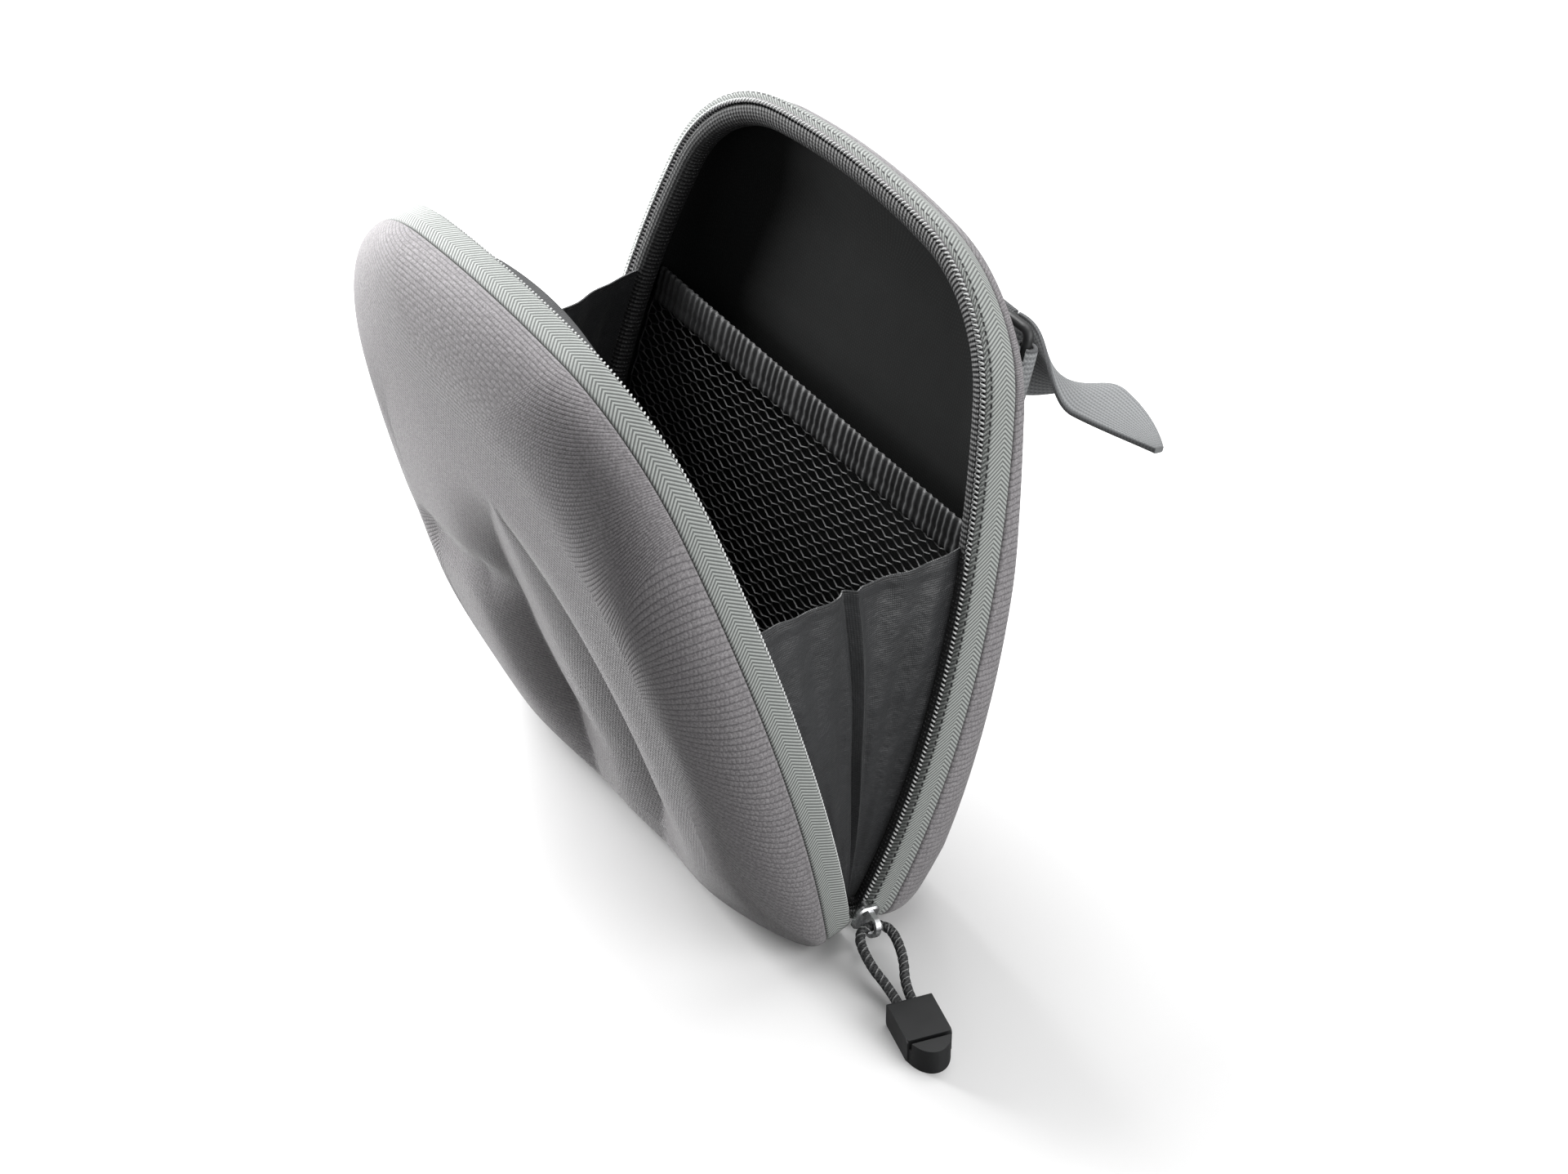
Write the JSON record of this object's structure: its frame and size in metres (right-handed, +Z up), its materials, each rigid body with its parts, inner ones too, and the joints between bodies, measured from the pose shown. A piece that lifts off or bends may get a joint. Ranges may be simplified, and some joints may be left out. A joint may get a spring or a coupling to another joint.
{
  "type": "binocular hard case",
  "caption": "Moulded zip case for binoculars, standing open in a V on its cloth hinge, with gussets, a mesh pocket, a corded zip pull and a hand strap.",
  "frame": {"origin": "centre of the case's box, without the zip pull, on the surface it stands on", "axes": "+Z up, +X along the cloth hinge towards the zip pull, front half towards -Y, rear half with the hand strap towards +Y"},
  "size_m": [0.2341, 0.1774, 0.2068],
  "materials": {
    "shell_cloth": "heather grey laminated cloth",
    "zip_tape_cloth": "grey herringbone tape",
    "zip_coil": "black moulded coil",
    "zip_stop_metal": "plated",
    "inner_tape_cloth": "black ribbed binding",
    "lining_cloth": "black knitted lining",
    "lip_cloth": "dark grey padded",
    "gusset_nylon": "black nylon, semi gloss",
    "pocket_mesh": "coarse black mesh",
    "strap_webbing": "grey ribbed webbing",
    "loop_tape_cloth": "napped loop",
    "ring_plastic": "moulded",
    "slider_metal": "polished",
    "cord_braid": "black braid with pale flecks",
    "cord_end_plastic": "black moulded"
  },
  "bodies": {
    "rear": {"rear_shell": "shell_cloth", "rear_lining": "lining_cloth", "rear_zip_tape": "zip_tape_cloth", "rear_zip_teeth": "zip_coil", "rear_zip_stops": "zip_stop_metal", "rear_inner_tape": "inner_tape_cloth", "hinge_strip": "zip_tape_cloth", "right_gusset": "gusset_nylon", "left_gusset": "gusset_nylon", "mesh_pocket": "pocket_mesh", "pocket_band": "pocket_mesh", "hand_strap": "strap_webbing", "strap_anchor_patch": "strap_webbing", "strap_loop_tape": "loop_tape_cloth", "ring_tab": "strap_webbing", "zip_slider": "slider_metal"},
    "front": {"front_shell": "shell_cloth", "front_lining": "lining_cloth", "front_zip_tape": "zip_tape_cloth", "front_zip_teeth": "zip_coil", "front_zip_stops": "zip_stop_metal", "front_inner_tape": "inner_tape_cloth", "zip_guard_lip": "lip_cloth"},
    "pull": {"pull_cord": "cord_braid", "pull_cord_end": "cord_end_plastic"},
    "ring": {"strap_ring": "ring_plastic"},
    "tail": {"strap_tail": "strap_webbing"}
  },
  "joints": [
    {"name": "front_fold", "type": "hinge", "parent": "rear", "child": "front", "pos_m": [0, -0.01283, 0.00597], "axis": [1, 0, 0], "range_deg": [-30, 0], "deforming": ["hinge_strip", "right_gusset", "left_gusset"]},
    {"name": "pull_swing", "type": "hinge", "parent": "rear", "child": "pull", "pos_m": [0.08978, -0.01169, 0.01024], "axis": [0.2419, 0.9703, 0], "range_deg": [-70, 60]},
    {"name": "ring_swing", "type": "hinge", "parent": "rear", "child": "ring", "pos_m": [0.055, 0.0601, 0.15414], "axis": [0, 0.2588, 0.9659], "range_deg": [-20, 0]},
    {"name": "tail_flap", "type": "hinge", "parent": "rear", "child": "tail", "pos_m": [0.04015, 0.06836, 0.15193], "axis": [0, 0.2588, 0.9659], "range_deg": [0, 90]}
  ]
}
